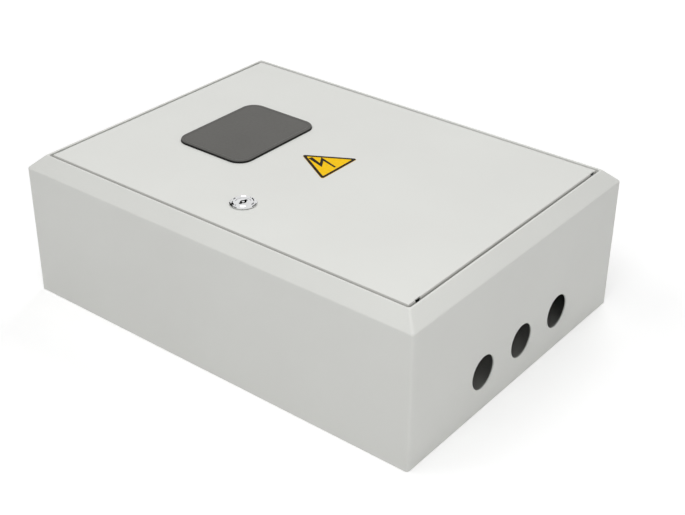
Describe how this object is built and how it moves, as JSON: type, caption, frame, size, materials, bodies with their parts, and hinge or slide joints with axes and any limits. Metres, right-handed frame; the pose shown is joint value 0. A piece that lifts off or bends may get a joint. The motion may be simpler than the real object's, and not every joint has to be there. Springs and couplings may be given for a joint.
{
  "type": "surface-mounted electricity meter cabinet",
  "caption": "Flat sheet-steel wall cabinet with a bevelled rim, a flush hinged door with a viewing window and a key-operated cam lock, and cable entries in one end.",
  "frame": {"origin": "centre of the back's mounting face: the cabinet lies on its back, as pictured, with the door up", "axes": "+Z out of the door, away from the wall it is fixed to; +X towards the end with the cable entries, which is the bottom when it hangs; +Y towards the hinge side"},
  "size_m": [0.46, 0.34, 0.1528],
  "materials": {
    "painted_sheet": "fine light-grey powder coat",
    "zinc_plated_steel": "bright zinc plate",
    "galvanised_sheet": "galvanised, faint spangle",
    "brass_bar": "drawn brass",
    "green_plastic": "moulded",
    "blue_plastic": "moulded",
    "black_rubber": "matte foam and sheet rubber",
    "clear_pane": "moulded polycarbonate, lightly smoked",
    "sign_yellow": "printed film, satin",
    "chromed_zinc": "bright chrome plate"
  },
  "bodies": {
    "cabinet": {"body_shell": "painted_sheet", "back_panel": "painted_sheet", "plate_studs": "zinc_plated_steel", "plate_spacers": "zinc_plated_steel", "mounting_plate": "galvanised_sheet", "plate_nuts": "zinc_plated_steel", "din_rail": "zinc_plated_steel", "rail_screws": "zinc_plated_steel", "earth_bar": "brass_bar", "earth_bar_feet": "green_plastic", "earth_bar_screws": "zinc_plated_steel", "earth_clamp_screws": "zinc_plated_steel", "neutral_bar": "brass_bar", "neutral_bar_feet": "blue_plastic", "neutral_bar_screws": "zinc_plated_steel", "neutral_clamp_screws": "zinc_plated_steel", "body_earth_stud": "zinc_plated_steel", "body_earth_nut": "zinc_plated_steel"},
    "door": {"door_panel": "painted_sheet", "door_gasket": "black_rubber", "hinge_strap_top": "painted_sheet", "hinge_strap_bottom": "painted_sheet", "hinge_pin_top": "zinc_plated_steel", "hinge_pin_bottom": "zinc_plated_steel", "hinge_clip_top": "zinc_plated_steel", "hinge_clip_bottom": "zinc_plated_steel", "window_seal": "black_rubber", "window_pane": "clear_pane", "window_frame": "zinc_plated_steel", "window_studs": "zinc_plated_steel", "window_nuts": "zinc_plated_steel", "door_sign": "sign_yellow", "lock_housing": "chromed_zinc", "lock_seal": "black_rubber", "lock_nut": "zinc_plated_steel", "door_earth_stud": "zinc_plated_steel", "door_earth_nut": "zinc_plated_steel"},
    "lock_turn_parts": {"lock_rotor": "chromed_zinc", "lock_cam": "zinc_plated_steel", "cam_screw": "zinc_plated_steel"}
  },
  "joints": [
    {"name": "door_hinge", "type": "hinge", "parent": "cabinet", "child": "door", "pos_m": [0, 0.1444, 0.1452], "axis": [-1, 0, 0], "range_deg": [0, 115]},
    {"name": "lock_turn", "type": "hinge", "parent": "door", "child": "lock_turn_parts", "pos_m": [-0.0029, -0.109, 0.15], "axis": [0, 0, -1], "range_deg": [0, 90]}
  ]
}
